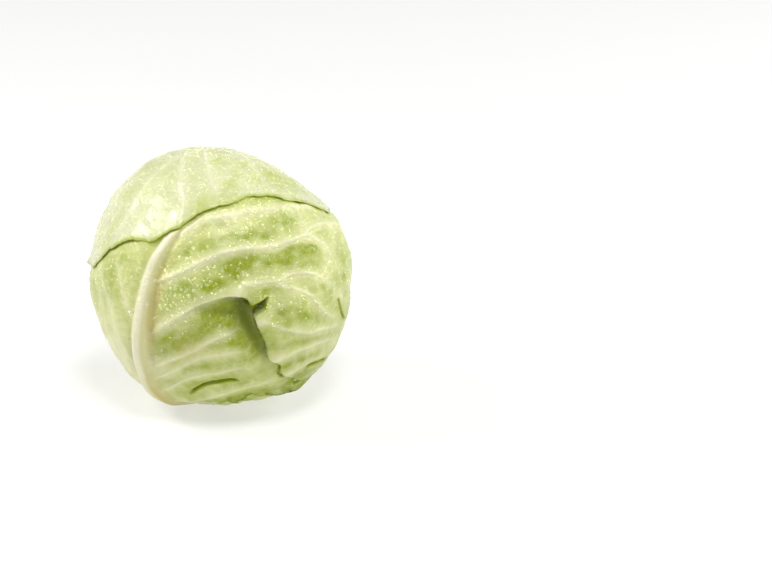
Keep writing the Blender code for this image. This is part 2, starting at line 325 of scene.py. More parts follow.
def grown(name, blade, cells, shape, thickness=0.0009, crowd=()):
    """Makes one leaf as a closed skin: a fine outer face, a rounded margin, and a plainer inner face."""
    cells = int(cells / (1)) // 4 * 4
    a, b = np.meshgrid(np.linspace(-1, 1, cells + 1), np.linspace(-1, 1, cells + 1))
    a, b = a.ravel(), b.ravel()
    ways = blade.at(a, b)
    for path, within, power in crowd:      # draws the grid in towards a fold, so that its edge is crisp
        gap, along, _, foot = beside(ways, path, within)
        ends = ease(along / 0.08) * ease((1 - along) / 0.08)
        pull = np.where(gap < within, (np.maximum(gap, 1e-6) / within) ** (power - 1.0), 1.0)
        pull = 1.0 - ends * (1.0 - pull)
        ways = foot + (ways - foot) * pull[:, None]
        ways /= np.linalg.norm(ways, axis=1)[:, None]
    top, marks = shape(ways)

    def ring(n, u):
        """The places round the edge of an n by n square, anticlockwise, at a share u of the way out."""
        line = np.linspace(-1, 1, n + 1)[:-1]
        ones = np.ones(n)
        sideways = u * np.concatenate([line, ones, -line, -ones])
        upward = u * np.concatenate([-ones, line, ones, -line])
        return sideways, upward

    def edge_of(n):
        k = np.arange(n)
        return np.concatenate([k, k * (n + 1) + n, n * (n + 1) + n - k, (n - k) * (n + 1)])

    points, uvs, colours = [top], [np.column_stack([a, b])], [marks]
    count = len(top)
    edge = edge_of(cells)
    loops = [edge]
    # The rounded margin: out and half down, then under.
    for out, down in ((1.0030, 0.18), (1.0036, 0.55), (1.0015, 0.90), (0.9960, 1.0)):
        ra, rb = ring(cells, out)
        there = blade.at(ra, rb)
        point, mark = shape(there)
        points.append(point - there * (thickness * down))
        uvs.append(np.column_stack(ring(cells, 1 + 0.02 * (len(points) - 1))))
        colours.append(mark)
        loops.append(count + np.arange(4 * cells))
        count += 4 * cells
    # The inner face, on a grid four times as coarse.
    few = cells // 4
    ia, ib = np.meshgrid(np.linspace(-1, 1, few + 1), np.linspace(-1, 1, few + 1))
    ia, ib = ia.ravel(), ib.ravel()
    there = blade.at(0.985 * ia, 0.985 * ib)
    point, mark = shape(there)
    inner_uv = np.column_stack([ia, ib]) * 0.05 + 1.22       # the hidden face gets a small corner of the map
    points.append(point - there * thickness)
    uvs.append(inner_uv)
    colours.append(mark)
    inner_start = count
    count += len(point)

    def quads(n, start, turned):
        k = np.arange(n * n)
        low = start + k // n * (n + 1) + k % n
        found = np.column_stack([low, low + 1, low + n + 2, low + n + 1])
        return found[:, ::-1] if turned else found

    faces = quads(cells, 0, False).tolist()
    for outer, lower in zip(loops, loops[1:]):
        faces += np.column_stack([outer, lower, np.roll(lower, -1), np.roll(outer, -1)]).tolist()
    faces += quads(few, inner_start, True).tolist()
    last, coarse = loops[-1], inner_start + edge_of(few)
    for j, corner in enumerate(coarse):
        after = coarse[(j + 1) % len(coarse)]
        run = [int(last[(4 * j + k) % len(last)]) for k in range(5)]
        faces += [[run[k], int(corner), run[k + 1]] for k in range(4)]
        faces.append([run[4], int(corner), int(after)])

    points = np.vstack(points) + np.array(heart_of_head)
    uvs = np.vstack(uvs)
    mesh = bpy.data.meshes.new(name)
    mesh.from_pydata(points.tolist(), [], faces)
    for key in marks:
        layer = mesh.attributes.new(key, "FLOAT", "POINT")
        layer.data.foreach_set("value", np.concatenate([c[key] for c in colours]).astype(np.float32))
    corner_verts = np.empty(len(mesh.loops), np.int32)
    mesh.loops.foreach_get("vertex_index", corner_verts)
    spread = 0.008 + 0.984 * (uvs[corner_verts] + 1.09) / 2.37
    mesh.uv_layers.new(name="OFBake").data.foreach_set("uv", spread.astype(np.float32).ravel())
    laid.append(blade)
    return stood(name, mesh)


def leaf_finish(name, pale, deep, rib, foot, margin_tone_and_shade, fold=(0.085, 0.112, 0.002),
                gloss=0.38, lucent=0.25, net=0.3, shine=0.20):
    """Waxy leaf: the blade's green runs from pale to deep, cream along the veins, with a fine net of small
    veins, soft mottling and a satin bloom. Some of the deep green, the darker margins and the dark green of
    the fold mark are painted shade."""
    paint = bpy.data.materials.new(name)
    paint.use_nodes = True
    tree = paint.node_tree
    nodes, link = tree.nodes, tree.links.new
    shader = nodes["Principled BSDF"]
    place = nodes.new("ShaderNodeTexCoord")

    def mark(key):
        node = nodes.new("ShaderNodeAttribute")
        node.attribute_name = key
        return node.outputs["Fac"]

    def clouds(scale, detail, low, high):
        noise = nodes.new("ShaderNodeTexNoise")
        noise.inputs["Scale"].default_value = scale
        noise.inputs["Detail"].default_value = detail
        noise.inputs["Roughness"].default_value = 0.55
        link(place.outputs["Object"], noise.inputs["Vector"])
        span = nodes.new("ShaderNodeMapRange")
        span.inputs["From Min"].default_value = 0.3
        span.inputs["From Max"].default_value = 0.7
        span.inputs["To Min"].default_value = low
        span.inputs["To Max"].default_value = high
        link(noise.outputs["Fac"], span.inputs["Value"])
        return span.outputs["Result"]

    def maths(kind, one, two, clamp=False):
        node = nodes.new("ShaderNodeMath")
        node.operation = kind
        node.use_clamp = clamp
        for socket, value in zip(node.inputs, (one, two)):
            if isinstance(value, (int, float)):
                socket.default_value = value
            else:
                link(value, socket)
        return node.outputs["Value"]

    def blend(share, one, two):
        node = nodes.new("ShaderNodeMix")
        node.data_type = "RGBA"
        for socket, value in ((node.inputs[6], one), (node.inputs[7], two)):
            if isinstance(value, tuple):
                socket.default_value = (*value, 1.0)
            else:
                link(value, socket)
        link(share, node.inputs[0])
        return node.outputs[2]

    # The net of small veins: edges of cells about 4 mm across, bent by a slow noise.
    bend = nodes.new("ShaderNodeTexNoise")
    bend.inputs["Scale"].default_value = 90.0
    link(place.outputs["Object"], bend.inputs["Vector"])
    shifted = nodes.new("ShaderNodeVectorMath")
    shifted.operation = "MULTIPLY_ADD"
    link(bend.outputs["Color"], shifted.inputs[0])
    shifted.inputs[1].default_value = (0.0045, 0.0045, 0.0045)
    link(place.outputs["Object"], shifted.inputs[2])
    cells = nodes.new("ShaderNodeTexVoronoi")
    cells.feature = "DISTANCE_TO_EDGE"
    cells.inputs["Scale"].default_value = 230.0
    link(shifted.outputs["Vector"], cells.inputs["Vector"])
    line = nodes.new("ShaderNodeMapRange")
    line.interpolation_type = "SMOOTHSTEP"
    line.inputs["From Min"].default_value = 0.0
    line.inputs["From Max"].default_value = 0.16
    line.inputs["To Min"].default_value = 1.0
    line.inputs["To Max"].default_value = 0.0
    link(cells.outputs["Distance"], line.inputs["Value"])
    netting = maths("MULTIPLY", line.outputs["Result"], clouds(60.0, 2.0, 0.1, 1.0))

    depth = maths("ADD", mark("green_and_shade"), clouds(38.0, 4.0, -0.16, 0.22))
    depth = maths("ADD", depth, clouds(260.0, 3.0, -0.07, 0.07), clamp=True)
    colour = blend(depth, pale, deep)
    colour = blend(maths("MULTIPLY", netting, 0.30 * net), colour, rib)
    colour = blend(maths("MULTIPLY", mark("rib"), clouds(120.0, 3.0, 0.72, 1.0), clamp=True), colour, rib)
    colour = blend(mark("foot"), colour, foot)
    # The margin mark: painted shade, darker along the margins and seams of the cap, front and side leaves;
    # on the torn and inner leaves it is their own paler edge.
    colour = blend(mark("margin_tone_and_shade"), colour, margin_tone_and_shade)
    # The fold mark: painted shade, a dark green laid in the hollow, the pocket, the creases and slits, and
    # under overhanging margins.
    colour = blend(mark("fold"), colour, fold)
    link(colour, shader.inputs["Base Color"])

    matt = maths("ADD", clouds(150.0, 4.0, -0.07, 0.09), gloss)
    link(maths("ADD", matt, maths("MULTIPLY", mark("fold"), 0.45), clamp=True), shader.inputs["Roughness"])
    shader.inputs["Subsurface Weight"].default_value = lucent
    shader.inputs["Subsurface Radius"].default_value = (0.55, 0.80, 0.20)
    shader.inputs["Subsurface Scale"].default_value = 0.0035
    shader.inputs["Specular IOR Level"].default_value = shine
    shader.inputs["Coat Weight"].default_value = 0.5 * shine
    shader.inputs["Coat Roughness"].default_value = 0.22

    # Fine wrinkles, drawn out round the head, and the grain of the wax.
    drawn = nodes.new("ShaderNodeMapping")
    drawn.inputs["Scale"].default_value = (1.0, 1.0, 3.6)
    link(place.outputs["Object"], drawn.inputs["Vector"])
    wrinkles = nodes.new("ShaderNodeTexNoise")
    wrinkles.inputs["Scale"].default_value = 150.0
    wrinkles.inputs["Detail"].default_value = 4.0
    link(drawn.outputs["Vector"], wrinkles.inputs["Vector"])
    rough = maths("ADD", maths("MULTIPLY", netting, 0.55), clouds(900.0, 3.0, -0.25, 0.25))
    rough = maths("ADD", rough, maths("MULTIPLY", wrinkles.outputs["Fac"], 2.4))
    bump = nodes.new("ShaderNodeBump")
    bump.inputs["Strength"].default_value = 0.45
    bump.inputs["Distance"].default_value = 0.00025
    link(rough, bump.inputs["Height"])
    link(bump.outputs["Normal"], shader.inputs["Normal"])
    return paint


cap_blade = Blade(
    (180, 38),
    [(-92, 5), (-77, 9), (-61, 22), (-50, 29), (-38, 31), (-24, 39), (-10, 48), (8, 52), (28, 55), (50, 49),
     (68, 43), (83, 34), (102, 29), (120, 16), (133, -2), (145, -28), (152, -54), (152, -72), (180, -76),
     (-155, -74), (-148, -58), (-138, -36), (-122, -18), (-104, -2)], step=0.0010, seed=11)
cap_rib = flowing([(180, -75), (180, -45), (-178, -10), (178, 30), (176, 60), (-130, 80)])
front_rib = flowing([(-49, -75), (-45, -58), (-43, -43), (-40, -25), (-37, -7), (-35, 8), (-32, 23),
                     (-26, 37), (-16, 52)])
cap_veins = [
    (cap_rib, (8.5, 3.0), (3.4, 0.9), 0.0),
    (flowing([(-130, 80), (-84, 74), (-40, 62), (-25, 50), (-22, 42)]), (3.2, 1.8), (0.8, 0.4), 0.15),
    (flowing([(-140, 78), (-84, 70), (-66, 50), (-62, 34), (-63, 24)]), (2.6, 1.5), (0.7, 0.3), 0.10),
    (flowing([(-120, 81), (-60, 82), (-12, 66), (-4, 57), (-4, 51)]), (2.8, 1.6), (0.8, 0.4), 0.15),
    (flowing([(-170, 70), (-110, 60), (-90, 42), (-84, 24), (-84, 12)]), (2.6, 1.5), (0.6, 0.3), 0.0),
    (flowing([(176, 66), (130, 80), (60, 76), (44, 64), (42, 54)]), (2.8, 1.6), (0.8, 0.4), 0.15),
    (flowing([(176, 58), (130, 66), (96, 58), (80, 46), (78, 40)]), (2.6, 1.5), (0.7, 0.3), 0.0),
    (flowing([(-60, 66), (-50, 54), (-46, 42), (-44, 34)]), (1.6, 1.0), (0.4, 0.2), 0.0),
    (flowing([(-8, 65), (10, 66), (22, 60), (26, 56)]), (1.6, 1.0), (0.5, 0.2), 0.0),
]
for rise in (-52, -34, -16, 4, 24, 42):                  # side veins up the back, left and right in turn
    for hand in (-1, 1):
        lift = 0 if hand > 0 else 8
        cap_veins.append((
            flowing([(180, rise - 3 + lift), (180 + 16 * hand, rise + 10 + lift),
                     (180 + 34 * hand, rise + 20 + lift), (180 + 58 * hand, rise + 24 + lift)]),
            (3.0, 1.3), (1.1, 0.3), 0.12))
cap_veins += branchlets(cap_veins[1:], 8.0, 11.0, 101)
cap_greens = [
    ([(8, 62), (16, 67)], 5.0, 0.75), ([(-10, 77)], 3.5, 0.5), ([(36, 75), (48, 74)], 4.5, 0.5),
    ([(-14, 50), (0, 56)], 4.0, 0.55), ([(50, 66), (75, 52)], 9.0, 0.42),
    ([(-24, 43), (-8, 51), (10, 55)], 2.5, 0.55), ([(38, 63), (50, 58)], 7.0, 0.50),
    ([(-90, 10), (-84, 20)], 5.0, 0.30), ([(-70, 20), (-62, 27)], 4.0, 0.25),
    ([(150, 10), (140, 30)], 9.0, 0.45), ([(-140, -10), (-150, 20)], 9.0, 0.45),
    ([(160, -30), (150, -10)], 8.0, 0.5), ([(-150, -30), (-145, -5)], 8.0, 0.5),
    ([(150, 50), (120, 55)], 8.0, 0.35), ([(-130, 40), (-110, 30)], 9.0, 0.35),
]


def cap_shape(ways):
    radius, _ = resting(ways, [])
    rise, pale, panel = veined(ways, cap_veins)
    puff = quilted(ways, 0.0085, 24)
    pale = np.maximum(pale, 0.09 * np.exp(-((puff / 0.30) ** 2)))
    inside = cap_blade.inside(ways)
    heading, _ = cap_blade.polar(ways)
    curl = 0.0004 * np.exp(-((np.maximum(inside, 0) / 0.0028) ** 2))
    curl = curl * (0.3 + 0.7 * np.sin(9 * heading + 1.1))
    tab = np.exp(-((degrees_from(ways, towards(-91, 7)) / 7) ** 2))     # the curled tab at the left end
    curl = curl + 0.0024 * tab * np.exp(-np.abs(inside) / 0.006)
    # The rib of the leaf beneath shows through as a low swelling near the margin.
    gap, _, _, _ = beside(ways, front_rib, 0.03)
    under = 0.0010 * np.exp(-((gap / 0.007) ** 2)) * np.exp(-np.maximum(inside, 0) / 0.018)
    radius = radius + rise + curl + under + 0.00030 * swell(ways, 0.017, 21) + 0.00014 * ease(puff)
    green_and_shade = 0.7 * stained(ways, cap_greens) + 0.14 * panel + 0.14 * np.maximum(0, swell(ways, 0.025, 23))
    foot = ease((-towards(0, 0)[2] - ways[:, 2] - 0.80) / 0.2) * 0.6
    # Painted shade: a dark olive band along the margin, where the edge stands over the leaf beneath.
    margin_tone_and_shade = 0.85 * np.exp(-((inside / 0.0013) ** 2))
    return ways * radius[:, None], {"rib": pale, "green_and_shade": np.clip(green_and_shade, 0, 1), "foot": foot, "margin_tone_and_shade": margin_tone_and_shade}


cap = grown("cap_leaf_skin", cap_blade, 288, cap_shape, thickness=0.0007)
cap.data.materials.append(leaf_finish(
    "cap_leaf_skin", pale=(0.65, 0.68, 0.41), deep=(0.43, 0.50, 0.09), rib=(0.81, 0.81, 0.56),
    foot=(0.62, 0.57, 0.32), margin_tone_and_shade=(0.38, 0.45, 0.03), gloss=0.31, shine=0.50))
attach(cap, "root")
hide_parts("cap_leaf")

# ---------------------------------------------------------------------------------------------------
# Front leaf. The broad leaf that shows most: a thick cream midrib left of the middle, side veins that
# stand up like cords with sunken green panels between, and a pleat where the blade folded over itself
# as it was pressed flat, with a hollow to its left and a small pocket at its top.
# ---------------------------------------------------------------------------------------------------

front_blade = Blade(
    (-8, -4),
    [(-52, -76), (-24, -75), (-10, -66), (-3, -55), (3, -48), (8, -51), (13, -48), (20, -45.5), (25, -49),
     (30, -46), (37, -49.5), (44, -46), (51, -48.5), (57, -45), (63, -46), (67, -41), (72, -34), (77, -25),
     (83, -12), (90, 5), (96, 22), (92, 40), (70, 55), (40, 64), (0, 68), (-35, 66), (-70, 55), (-98, 38),
     (-112, 15), (-115, -10), (-108, -35), (-94, -56), (-82, -72)], ragged=0.6, seed=12)
pleat = flowing([(-22, -2), (-12, 5.5), (-4, 9.5), (2, 11.8), (7, 12.3), (11.5, 11), (14.5, 6.5),
                 (16, 0), (18, -5), (20.5, -11), (21.5, -15.5), (22.5, -18.5), (25.5, -20.5),
                 (28.5, -23), (30, -28), (36, -33), (46, -38.5), (60, -45)])
pleat_width, pleat_power = 0.012, 1.6
crease = flowing([(-20, -46), (-15, -40), (-8, -35), (0, -32.5), (6, -31), (9, -32.5)])
side_slit = flowing([(62, -1), (64, -6), (67, -11), (77, -17)])
low_slit = flowing([(45, -30), (50, -29.5), (56, -30), (64, -31.5)])
notch = flowing([(25, -21), (28, -24), (28.5, -28), (31, -31.5), (37, -34)])
low_notch = flowing([(42, -37), (45, -40.5), (51, -41.5), (59, -44)])
shade_line = flowing([(4, 9.8), (8, 7.5), (10, 2), (12.5, -5), (16, -12), (19, -17)])
rim_slit = flowing([(20.5, 9.4), (17.5, 7.8), (15, 7.0), (12.5, 7.4), (9, 9.4)])
front_veins = [
    (flowing([(-24, 33), (-14, 42), (0, 45), (14, 46.5), (30, 47), (52, 45), (74, 40), (92, 32)]),
     (4.0, 2.6), (1.0, 0.8), 0.35),
    (flowing([(-33, 12), (-22, 18), (-11, 24), (-2, 28), (9, 30), (24, 30), (35, 31), (47, 31), (55, 26),
              (60, 18), (66, 10)]), (2.8, 1.7), (1.5, 0.8), 0.9),
    (flowing([(42, 31), (54, 34), (70, 31), (86, 24)]), (2.0, 1.4), (0.9, 0.5), 0.3),
    (flowing([(-36, -11), (-28, -6), (-19, 0.5), (-12, 5.5), (-4, 9.5), (4, 12), (12, 15.5), (26, 15.5),
              (31, 17), (41, 16), (50, 11), (57, 5), (64, -1)]), (2.6, 1.4), (1.3, 0.7), 0.55),
    (flowing([(24, 15), (30, 12), (40, 7), (48, -2), (56, -8), (64, -12)]), (1.7, 1.0), (0.9, 0.5), 0.25),
    (flowing([(-39, -29), (-31, -25), (-22, -20), (-14, -16), (-3, -9), (6, -6), (10, -5)]),
     (2.6, 1.8), (1.1, 0.8), 0.6),
    (flowing([(-40, -36), (-28, -30), (-11, -20), (3, -16), (14, -15)]), (2.2, 1.4), (0.9, 0.6), 0.3),
    (flowing([(-43, -47), (-32, -41), (-20, -34), (-11, -29), (4, -25), (15, -22)]),
     (2.4, 1.5), (1.0, 0.6), 0.3),
    (flowing([(-45, -56), (-32, -54), (-16, -50), (2, -42), (18, -36), (28, -34)]),
     (2.4, 1.3), (0.9, 0.5), 0.3),
    (flowing([(14, 1), (20, -2), (28, -6), (39, -10), (52, -12), (66, -15), (80, -20)]),
     (2.0, 1.2), (0.9, 0.5), 0.25),
    (flowing([(22, -20), (28, -19), (36, -18), (48, -18.5), (58, -20), (72, -26)]),
     (2.0, 1.2), (0.9, 0.5), 0.35),
    (flowing([(30, -31), (40, -29), (50, -27), (62, -27)]), (1.6, 1.0), (0.6, 0.4), 0.2),
    # left of the midrib they leave it low down and sweep up
    (flowing([(-38, -10), (-44, 2), (-50, 13), (-58, 22)]), (1.8, 1.1), (0.7, 0.4), 0.0),
    (flowing([(-45, -34), (-48, -24), (-52, -10), (-58, 1), (-65, 9), (-74, 14)]),
     (2.0, 1.2), (0.9, 0.4), 0.0),
    (flowing([(-48, -50), (-53, -36), (-60, -24), (-70, -13), (-84, -3), (-98, 4)]),
     (2.2, 1.2), (1.0, 0.4), 0.0),
    (flowing([(-50, -60), (-60, -50), (-72, -39), (-86, -30), (-100, -22)]), (2.2, 1.2), (0.9, 0.4), 0.0),
]
front_veins += branchlets(front_veins, 7.5, 10.0, 102)
# Strokes of deeper green. The one from (1, 7) to (10, -2), at the top of the hollow under the arching vein,
# is painted shade.
front_greens_and_shade = [
    ([(5, 23), (16, 26), (30, 24)], 5.5, 1.0), ([(-6, 15), (6, 19)], 4.5, 0.75),
    ([(-4, 33), (8, 36), (22, 35)], 3.6, 0.75), ([(-9, 40), (0, 42)], 3.0, 0.6),
    ([(19, 12), (30, 12)], 3.0, 0.75), ([(41, 27), (50, 24)], 3.6, 0.8),
    ([(29, 27), (36, 28)], 2.6, 0.6), ([(61, 31)], 3.2, 0.6), ([(49, 8), (56, 4)], 3.6, 0.5),
    ([(69, 6)], 3.2, 0.5), ([(-19, -13), (-8, -5), (0, 2)], 5.0, 1.0),
    ([(-5, -13), (4, -11)], 3.5, 0.45), ([(-18, -26), (-8, -22)], 3.2, 0.5),
    ([(-24, 9), (-14, 14)], 3.4, 0.5), ([(-56, 13), (-55, 8)], 3.0, 0.75), ([(-51, 20)], 2.6, 0.6),
    ([(-16, 29), (-8, 32)], 3.5, 0.45), ([(1, 7), (8, 5), (10, -2)], 4.0, 0.9), ([(26, 1)], 3.2, 0.8),
    ([(13, 5), (18, 6)], 3.0, 0.8), ([(-30, -14), (-20, -8)], 3.5, 0.45),
    ([(-34, -22), (-26, -16)], 3.5, 0.4), ([(34, 20), (48, 18)], 4.0, 0.25),
    ([(62, 18), (76, 12)], 5.0, 0.25), ([(34, -2), (50, -5)], 3.5, 0.25),
    ([(30, -13), (48, -15)], 3.0, 0.35), ([(30, -24), (50, -24)], 3.0, 0.40),
    ([(35, -40), (60, -44)], 5.0, 0.5), ([(-70, -4), (-76, 4)], 4.0, 0.45),
    ([(20, -4), (30, -8)], 4.0, 0.45), ([(-62, 2), (-60, -12)], 3.0, 0.35),
    ([(-20, -50), (10, -47), (30, -44)], 4.5, 0.70), ([(-30, -36), (-10, -34)], 3.0, 0.25),
    ([(-70, -20), (-64, -8)], 4.0, 0.25), ([(-84, -45), (-70, -30)], 5.0, 0.3),
    ([(-34, 4), (-28, 12)], 3.0, 0.35), ([(30, 40), (50, 39)], 3.5, 0.35),
    ([(-70, -48), (-62, -40)], 3.5, 0.35), ([(22, -2), (28, -4)], 4.5, 0.85),
    ([(40, -34), (57, -36)], 5.0, 0.5),
]


def dented(ways, corners, soft):
    """1 inside a small straight-sided patch, corners given clockwise, falling off over `soft` metres."""
    deep = np.full(len(ways), 1.0)
    places = [towards(*c) for c in corners]
    for a, b in zip(places, places[1:] + places[:1]):
        side = np.cross(b, a)
        deep = np.minimum(deep, ways @ (side / np.linalg.norm(side)) * head)
    return ease(deep / soft + 0.5)


def front_shape(ways):
    radius, free = resting(ways, [cap_blade])
    rise, pale, panel = veined(ways, front_veins)
    puff = quilted(ways, 0.0065, 34)
    pale = np.maximum(pale, 0.10 * np.exp(-((puff / 0.30) ** 2)))
    gap, along, hand, _ = beside(ways, front_rib, 0.035)
    width = np.interp(along, (0, 0.15, 0.45, 0.75, 1), (0.0082, 0.0066, 0.0054, 0.0040, 0.0032))
    height = np.interp(along, (0, 0.06, 0.2, 0.5, 0.75, 1),
                       (0.0010, 0.0040, 0.0050, 0.0042, 0.0028, 0.0014))
    rib = np.where(hand > 0, np.exp(-np.abs(gap / (1.12 * width)) ** 2.4),
                   np.exp(-np.abs(gap / (0.92 * width)) ** 3.8))
    gap_of_rib, hand_of_rib, along_of_rib = gap, hand, along
    web = np.exp(-((gap / 0.014) ** 2)) * (hand > 0) * ease((0.42 - along) / 0.3)
    groove = 0.0009 * np.exp(-(((gap - 1.5 * width) / 0.0022) ** 2)) * (1 - web)
    pale = np.maximum(pale, np.exp(-np.abs(gap / (1.08 * width)) ** 4))
    by_foot = np.exp(-((degrees_from(ways, towards(-66, -36)) / 24) ** 3))
    by_foot = np.maximum(by_foot, 0.9 * np.exp(-((degrees_from(ways, towards(-34, -27)) / 9) ** 2)))
    pale = np.maximum(pale, 0.62 * by_foot)
    rise = np.maximum(rise * (1 - rib), height * rib) + 0.0014 * web * (1 - rib) - groove
    rise = rise - hollow(ways, 0.0070)

    # The pleat: right of its edge the flap stands proud and hangs over; left of it the blade sinks into a
    # hollow and runs in under the flap. `over` is how far a place is across it before the grid was drawn in.
    gap, along, hand, foot = beside(ways, pleat, pleat_width)
    near = gap < pleat_width
    over = -hand * pleat_width * (np.minimum(gap / pleat_width, 1)) ** (1 / pleat_power)
    over = np.where(near, over, 1.0)
    strength = np.interp(along, (0, 0.12, 0.24, 0.45, 0.70, 0.86, 1), (0, 0.35, 0.95, 1.0, 0.72, 0.55, 0.0))
    strength = strength * near * ease((pleat_width - np.abs(over)) / 0.005)
    wall = 0.5 * (1 + np.tanh(over / 0.0016))
    rise = rise + strength * (0.0030 * wall * np.exp(-np.maximum(over, 0) / 0.008)
                              - 0.0048 * (1 - wall) * np.exp(np.minimum(over, 0) / 0.0045))
    shove = 0.0030 * np.exp(-(((over + 0.0019) / 0.0019) ** 2))
    shove = shove - 0.0036 * np.exp(-(((over - 0.0019) / 0.0021) ** 2))
    away = ways - foot
    size = np.linalg.norm(away, axis=1)
    away = away / np.maximum(size, 1e-9)[:, None] * (np.sign(over) * (size > 1e-7))[:, None]
    slide = away * (strength * shove)[:, None]

    # The pocket at the top of the flap, the dimple beside it, and the small creases and slits. Painted shade
    # in dark green goes down the hollow beside the pleat's edge, into the pocket, under the cap's margin and
    # into the creases and slits.
    pocket = dented(ways, [(20.0, 8.8), (18.6, 5.4), (15.8, 2.0), (13.8, 3.0), (15.4, 6.8)], 0.0010)
    rise = rise - 0.0050 * pocket
    rise = rise - 0.0016 * np.exp(-((degrees_from(ways, towards(25, 0)) / 2.6) ** 2))
    reach = np.interp(along, (0, 0.20, 0.30, 0.42, 0.60, 0.80, 1),
                      (0.0024, 0.0040, 0.0075, 0.0078, 0.0056, 0.0030, 0.0022))
    fold = strength * (1 - wall) * np.exp(-np.abs(over / reach) ** 1.6)
    gap, along, _, _ = beside(ways, shade_line, 0.02)
    broad = np.interp(along, (0, 0.25, 0.6, 1), (0.0058, 0.0072, 0.0050, 0.0028))
    painted_hollow_shade = np.interp(along, (0, 0.2, 0.6, 1), (0.50, 0.94, 0.84, 0.45)) * np.exp(-((gap / broad) ** 2))
    fold = np.maximum(fold, painted_hollow_shade * np.where(near, 1 - wall, 1.0))
    fold = np.maximum(fold, 0.85 * pocket)
    painted_seam_shade = np.exp(-((cap_blade.inside(ways) / 0.0019) ** 2))
    painted_shade_under_cap = 0.75 - 0.68 * ease((degrees_from(ways, towards(-75, 8)) - 12) / 30)
    fold = np.maximum(fold, painted_shade_under_cap * np.exp(-((cap_blade.inside(ways) / 0.0013) ** 2)))
    for path, wide, deep, lip in ((crease, 0.0008, 0.0020, 0.0020), (side_slit, 0.0008, 0.0026, 0.0012),
                                  (low_slit, 0.0007, 0.0020, 0.0016), (rim_slit, 0.0006, 0.0014, 0.0010),
                                  (notch, 0.0009, 0.0030, 0.0018), (low_notch, 0.0010, 0.0034, 0.0020)):
        gap, along, hand, _ = beside(ways, path, 0.012)
        ends = ease(along / 0.15) * ease((1 - along) / 0.2)
        lower = np.where(hand > 0, 1.0, 0.25)
        parted = lip * lower * np.exp(-gap / 0.0035) - (deep + lip) * np.exp(-((gap / wide) ** 2))
        rise = rise + ends * parted
        fold = np.maximum(fold, 0.60 * ends * np.exp(-((gap / (1.25 * wide)) ** 2)))
        painted_seam_shade = np.maximum(painted_seam_shade, ends * np.exp(-((gap / (2.4 * wide)) ** 2)))

    inside = front_blade.inside(ways)
    heading, _ = front_blade.polar(ways)
    torn_off = np.exp(-((degrees_from(ways, towards(32, -50)) / 22) ** 4))
    frill = 0.5 + 0.5 * np.sin(13 * heading + 0.4)
    curl = (0.0009 + 0.0022 * torn_off) * np.exp(-((np.maximum(inside, 0) / 0.0035) ** 2)) * frill
    radius = radius + free * (rise + curl + 0.00022 * (1 - rib) * ease(puff))
    radius = radius + 0.00036 * swell(ways, 0.015, 31)
    patchy = 1 + 0.25 * swell(ways, 0.009, 35)
    green_and_shade = 0.70 * stained(ways, front_greens_and_shade) * patchy + 0.34 * panel * patchy
    green_and_shade = green_and_shade + 0.10 + 0.10 * swell(ways, 0.03, 33)
    left = ease((degrees_from(ways, towards(-90, 0)) - 30) / 50)
    green_and_shade = green_and_shade * (0.40 + 0.60 * left) * (1 - 0.9 * rib)
    # Painted shade: the hollow is painted a deeper green, the more so the deeper it is.
    green_and_shade = green_and_shade + 1.1 * hollow(ways, 0.0075) / hollow_depth
    # Painted shade: deeper green on the left, below the cap's margin.
    green_and_shade = green_and_shade + 0.34 * np.exp(-((degrees_from(ways, towards(-58, 14)) / 13) ** 2)) * (1 - rib)
    # Painted shade: deeper green towards the bottom of the leaf.
    shade_towards_bottom = ease((degrees_from(ways, towards(20, 90)) - 82) / 30) * (hand_of_rib > 0) * (1 - 0.8 * rib)
    green_and_shade = green_and_shade + 0.16 * shade_towards_bottom
    # The right flank of the midrib and a band beside it, part way up, are tinted tan: partly the rib's own
    # colour, partly painted shade of that flank. The tan low on the rib, on the web and at the bottom is its
    # own colour.
    shaded = rib * (hand_of_rib > 0) * ease((gap_of_rib - 0.001) / 0.003)
    foot_tint_and_flank_shade = 0.75 * shaded + 0.50 * rib * ease((-ways[:, 2] - 0.45) / 0.5) + 0.35 * web
    foot_tint_and_flank_shade = foot_tint_and_flank_shade + 0.3 * ease((-ways[:, 2] - 0.85) / 0.15)
    rib_flank_shade_span = ease((along_of_rib - 0.34) / 0.2) * ease((0.92 - along_of_rib) / 0.3) * (hand_of_rib > 0)
    foot_tint_and_flank_shade = np.maximum(foot_tint_and_flank_shade, 0.95 * rib_flank_shade_span * np.exp(-(((gap_of_rib - 0.0078) / 0.0042) ** 2)))
    foot_tint_and_flank_shade = foot_tint_and_flank_shade + 0.35 * np.exp(-((degrees_from(ways, towards(-15, -13)) / 7) ** 2))
    # Painted shade in dark olive under the cap's margin, in the creases and slits, and along this leaf's own
    # margin.
    margin_tone_and_shade = np.maximum(0.95 * painted_seam_shade, 0.7 * np.exp(-((inside / 0.0015) ** 2)))
    # Painted shade in dark green along the lower margin, where it stands over the torn leaf.
    fold = np.maximum(fold, 0.85 * torn_off * np.exp(-((inside / 0.0019) ** 2)))
    marks = {"rib": pale, "green_and_shade": np.clip(green_and_shade, 0, 1), "foot": np.clip(foot_tint_and_flank_shade, 0, 1), "margin_tone_and_shade": margin_tone_and_shade,
             "fold": np.clip(fold, 0, 1)}
    return ways * radius[:, None] + slide * free[:, None], marks


front = grown("front_leaf_skin", front_blade, 300, front_shape,
              crowd=((pleat, pleat_width, pleat_power), (crease, 0.006, 1.5), (side_slit, 0.006, 1.5)))
front.data.materials.append(leaf_finish(
    "front_leaf_skin", pale=(0.66, 0.69, 0.31), deep=(0.27, 0.335, 0.003), rib=(0.82, 0.80, 0.57),
    foot=(0.50, 0.44, 0.15), margin_tone_and_shade=(0.40, 0.48, 0.015), gloss=0.36))
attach(front, "root")
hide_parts("front_leaf")

